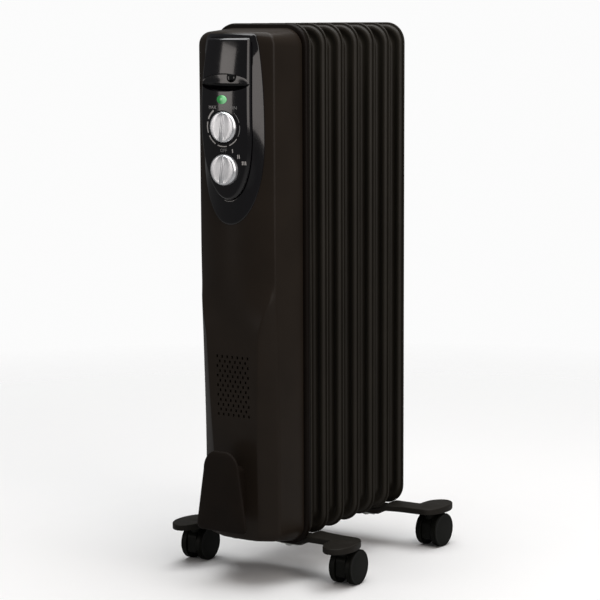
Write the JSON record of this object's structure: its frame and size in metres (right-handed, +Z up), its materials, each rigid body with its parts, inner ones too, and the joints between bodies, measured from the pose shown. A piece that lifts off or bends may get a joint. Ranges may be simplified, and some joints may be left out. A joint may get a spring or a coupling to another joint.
{
  "type": "oil filled radiator heater",
  "caption": "Free-standing oil filled column heater with a front control housing, cord wrap plate and foot bars on swivel casters.",
  "frame": {"origin": "centre of the heater's footprint on the floor", "axes": "+X across the fins to the right seen from the control side, -Y towards the control side, +Z up"},
  "size_m": [0.223, 0.312, 0.58],
  "materials": {
    "fin_paint": "satin brown-black baked enamel",
    "cover_paint": "satin brown-black powder coat",
    "frame_plastic": "smooth dark brown plastic",
    "gloss_black": "high gloss",
    "wrap_plastic": "fine matt grain",
    "foot_plastic": "dark grey satin plastic",
    "knob_silver": "satin silver metallised plastic",
    "green_lens": "translucent green",
    "lamp": "neon lamp",
    "sheet_steel": "bright mild steel",
    "element_steel": "dull sheath",
    "zinc": "zinc plated",
    "brass": "plain",
    "bakelite": "dark brown",
    "ceramic_white": "unglazed",
    "lead_plastic": "insulated leads"
  },
  "bodies": {
    "radiator": {"fin_1": "fin_paint", "fin_2": "fin_paint", "fin_3": "fin_paint", "fin_4": "fin_paint", "fin_5": "fin_paint", "fin_6": "fin_paint", "fin_7": "fin_paint", "upper_collars": "fin_paint", "lower_collars": "fin_paint", "rear_end_caps": "fin_paint", "filler_plug": "zinc", "heating_element": "element_steel", "element_flange": "brass", "element_terminals": "brass", "thermal_cutout": "bakelite", "heat_shield": "sheet_steel", "housing_frame": "frame_plastic", "front_cover": "cover_paint", "cover_screws": "zinc", "panel_surround": "gloss_black", "fascia": "gloss_black", "indicator_lens": "green_lens", "indicator_lamp": "lamp", "thermostat_body": "ceramic_white", "switch_body": "bakelite", "shaft_nuts": "zinc", "control_bracket": "sheet_steel", "terminal_block": "ceramic_white", "wiring": "lead_plastic", "cord_wrap": "wrap_plastic", "cord_gland": "foot_plastic", "front_foot_bar": "foot_plastic", "rear_foot_bar": "foot_plastic", "front_clamp": "zinc", "rear_clamp": "zinc", "front_wing_nuts": "zinc", "rear_wing_nuts": "zinc"},
    "caster_fl": {"caster_fl_hood": "foot_plastic", "caster_fl_axle": "sheet_steel"},
    "wheel_fl_left": {"caster_fl_wheel_left": "foot_plastic"},
    "wheel_fl_right": {"caster_fl_wheel_right": "foot_plastic"},
    "caster_fr": {"caster_fr_hood": "foot_plastic", "caster_fr_axle": "sheet_steel"},
    "wheel_fr_left": {"caster_fr_wheel_left": "foot_plastic"},
    "wheel_fr_right": {"caster_fr_wheel_right": "foot_plastic"},
    "caster_rl": {"caster_rl_hood": "foot_plastic", "caster_rl_axle": "sheet_steel"},
    "wheel_rl_left": {"caster_rl_wheel_left": "foot_plastic"},
    "wheel_rl_right": {"caster_rl_wheel_right": "foot_plastic"},
    "caster_rr": {"caster_rr_hood": "foot_plastic", "caster_rr_axle": "sheet_steel"},
    "wheel_rr_left": {"caster_rr_wheel_left": "foot_plastic"},
    "wheel_rr_right": {"caster_rr_wheel_right": "foot_plastic"},
    "thermostat_dial": {"thermostat_knob": "knob_silver", "thermostat_shaft": "sheet_steel"},
    "power_dial": {"power_knob": "knob_silver", "switch_shaft": "sheet_steel"}
  },
  "joints": [
    {"name": "swivel_fl", "type": "hinge", "parent": "radiator", "child": "caster_fl", "pos_m": [-0.0945, -0.063, 0.0385], "axis": [0, 0, 1], "continuous": true},
    {"name": "spin_fl_left", "type": "hinge", "parent": "caster_fl", "child": "wheel_fl_left", "pos_m": [-0.0945, -0.056, 0.0187], "axis": [1, 0, 0], "continuous": true},
    {"name": "spin_fl_right", "type": "hinge", "parent": "caster_fl", "child": "wheel_fl_right", "pos_m": [-0.0945, -0.056, 0.0187], "axis": [1, 0, 0], "continuous": true},
    {"name": "swivel_fr", "type": "hinge", "parent": "radiator", "child": "caster_fr", "pos_m": [0.0945, -0.063, 0.0385], "axis": [0, 0, 1], "continuous": true},
    {"name": "spin_fr_left", "type": "hinge", "parent": "caster_fr", "child": "wheel_fr_left", "pos_m": [0.0945, -0.056, 0.0187], "axis": [1, 0, 0], "continuous": true},
    {"name": "spin_fr_right", "type": "hinge", "parent": "caster_fr", "child": "wheel_fr_right", "pos_m": [0.0945, -0.056, 0.0187], "axis": [1, 0, 0], "continuous": true},
    {"name": "swivel_rl", "type": "hinge", "parent": "radiator", "child": "caster_rl", "pos_m": [-0.0945, 0.121, 0.0385], "axis": [0, 0, 1], "continuous": true},
    {"name": "spin_rl_left", "type": "hinge", "parent": "caster_rl", "child": "wheel_rl_left", "pos_m": [-0.0945, 0.128, 0.0187], "axis": [1, 0, 0], "continuous": true},
    {"name": "spin_rl_right", "type": "hinge", "parent": "caster_rl", "child": "wheel_rl_right", "pos_m": [-0.0945, 0.128, 0.0187], "axis": [1, 0, 0], "continuous": true},
    {"name": "swivel_rr", "type": "hinge", "parent": "radiator", "child": "caster_rr", "pos_m": [0.0945, 0.121, 0.0385], "axis": [0, 0, 1], "continuous": true},
    {"name": "spin_rr_left", "type": "hinge", "parent": "caster_rr", "child": "wheel_rr_left", "pos_m": [0.09499, 0.12798, 0.0187], "axis": [0.9976, -0.0698, 0], "continuous": true},
    {"name": "spin_rr_right", "type": "hinge", "parent": "caster_rr", "child": "wheel_rr_right", "pos_m": [0.09499, 0.12798, 0.0187], "axis": [0.9976, -0.0698, 0], "continuous": true},
    {"name": "thermostat_turn", "type": "hinge", "parent": "radiator", "child": "thermostat_dial", "pos_m": [0, -0.143, 0.4772], "axis": [0, 1, 0], "range_deg": [0, 330]},
    {"name": "power_turn", "type": "hinge", "parent": "radiator", "child": "power_dial", "pos_m": [0, -0.143, 0.4342], "axis": [0, 1, 0], "range_deg": [0, 75]}
  ]
}
